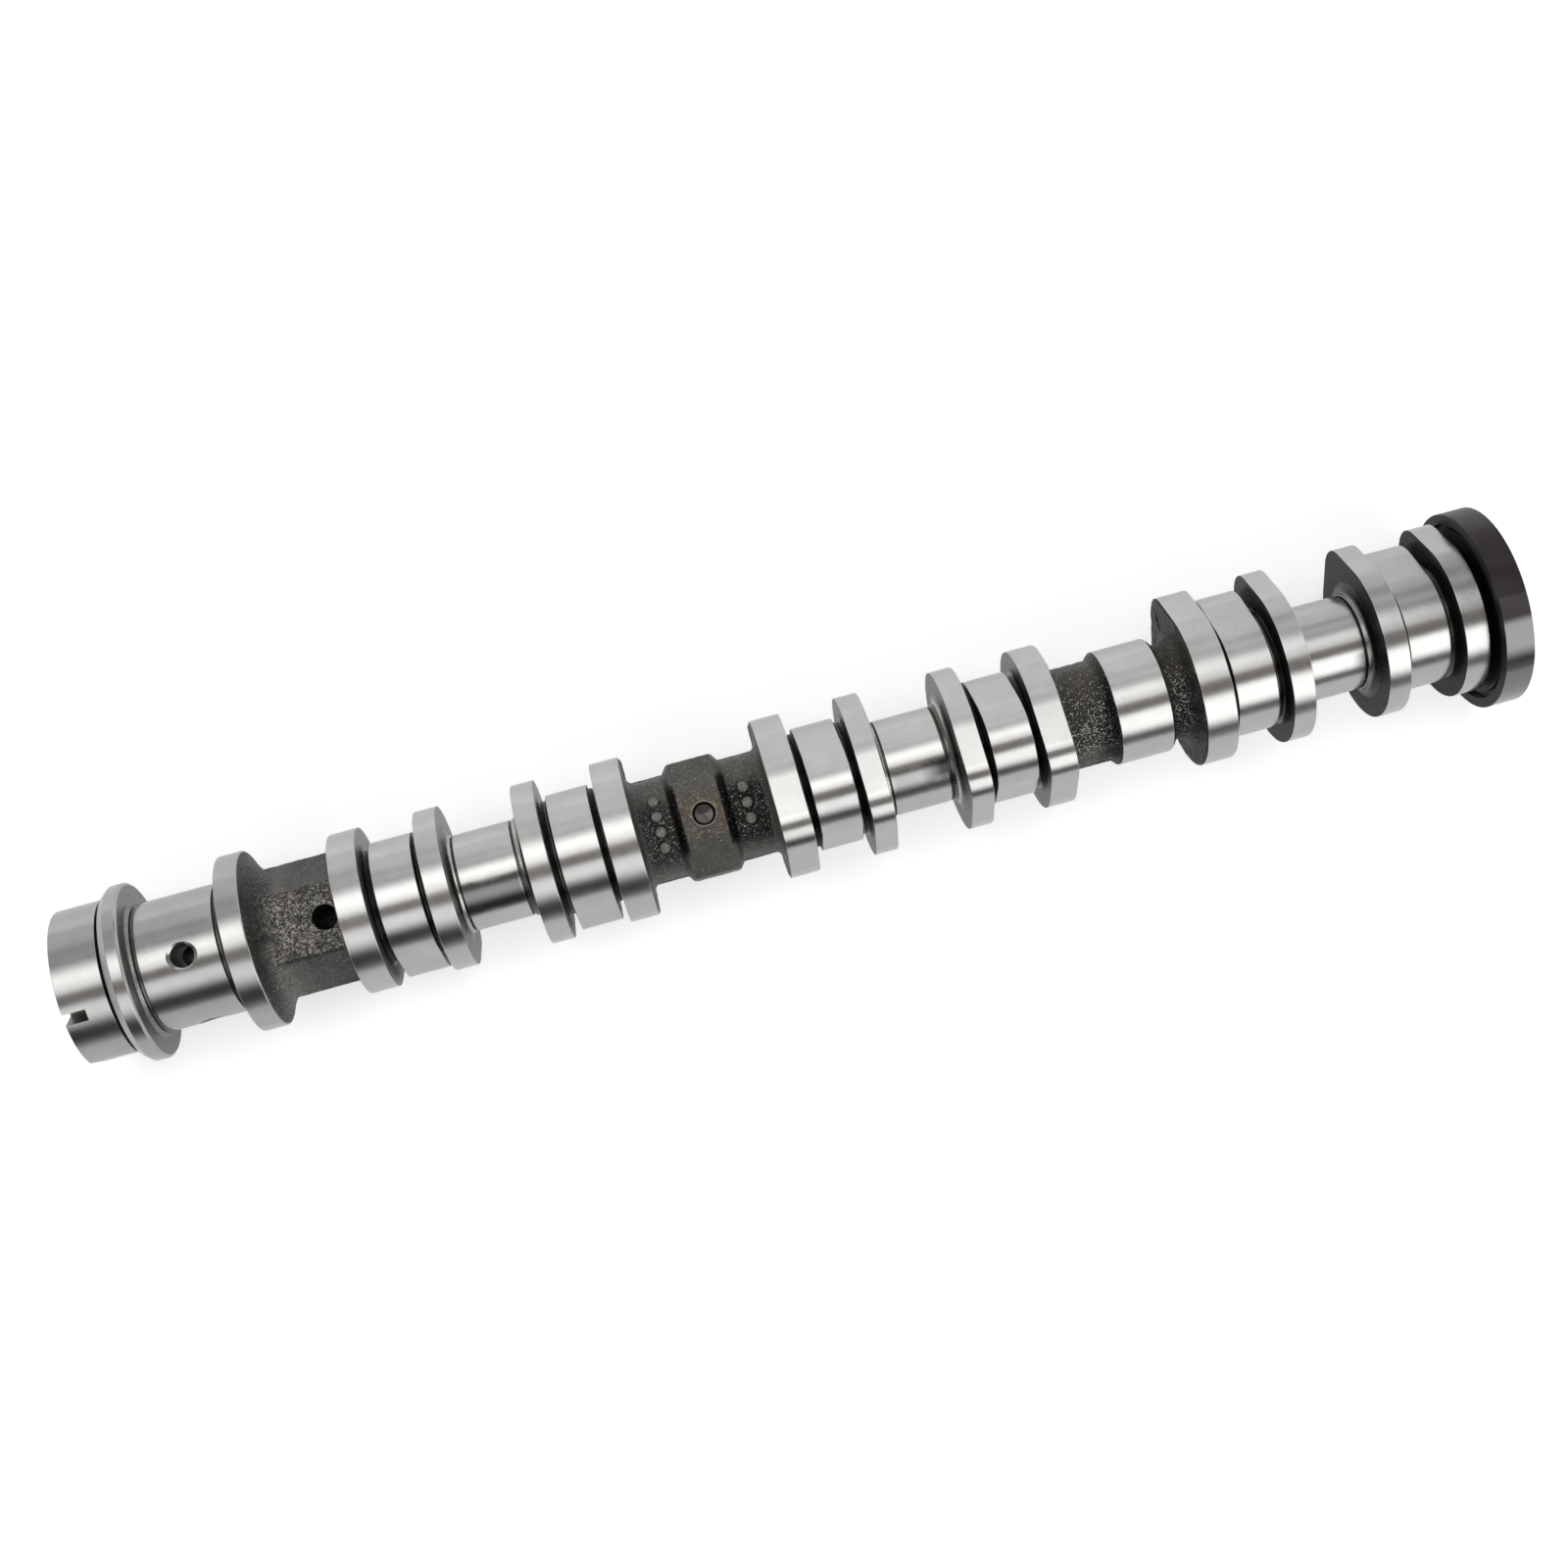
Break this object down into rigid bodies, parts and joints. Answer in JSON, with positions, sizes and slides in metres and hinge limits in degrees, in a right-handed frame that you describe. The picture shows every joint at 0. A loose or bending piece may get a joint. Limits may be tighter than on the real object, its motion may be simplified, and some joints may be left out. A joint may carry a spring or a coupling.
{
  "type": "camshaft",
  "caption": "Cast and ground camshaft with stepped lobes in groups along the shaft, thrust flanges at the drive nose, a cast hexagon and band, and a dark timing ring at the far end.",
  "frame": {"origin": "on the shaft's axis, at the nose face", "axes": "+X along the shaft from the nose to the timing ring; +Z square out of the cast hexagon's flat that has the vent hole, upward as the shaft lies; -Y out of the flat along the nose"},
  "size_m": [0.3594, 0.0498, 0.0498],
  "materials": {
    "ground_iron": "ground bright on the nose, flanges, bearings and lobes, dark grey-brown as cast between them",
    "ring_compound": "smooth dark brown, satin"
  },
  "bodies": {
    "root": {"camshaft": "ground_iron", "timing_ring": "ring_compound"}
  },
  "joints": []
}
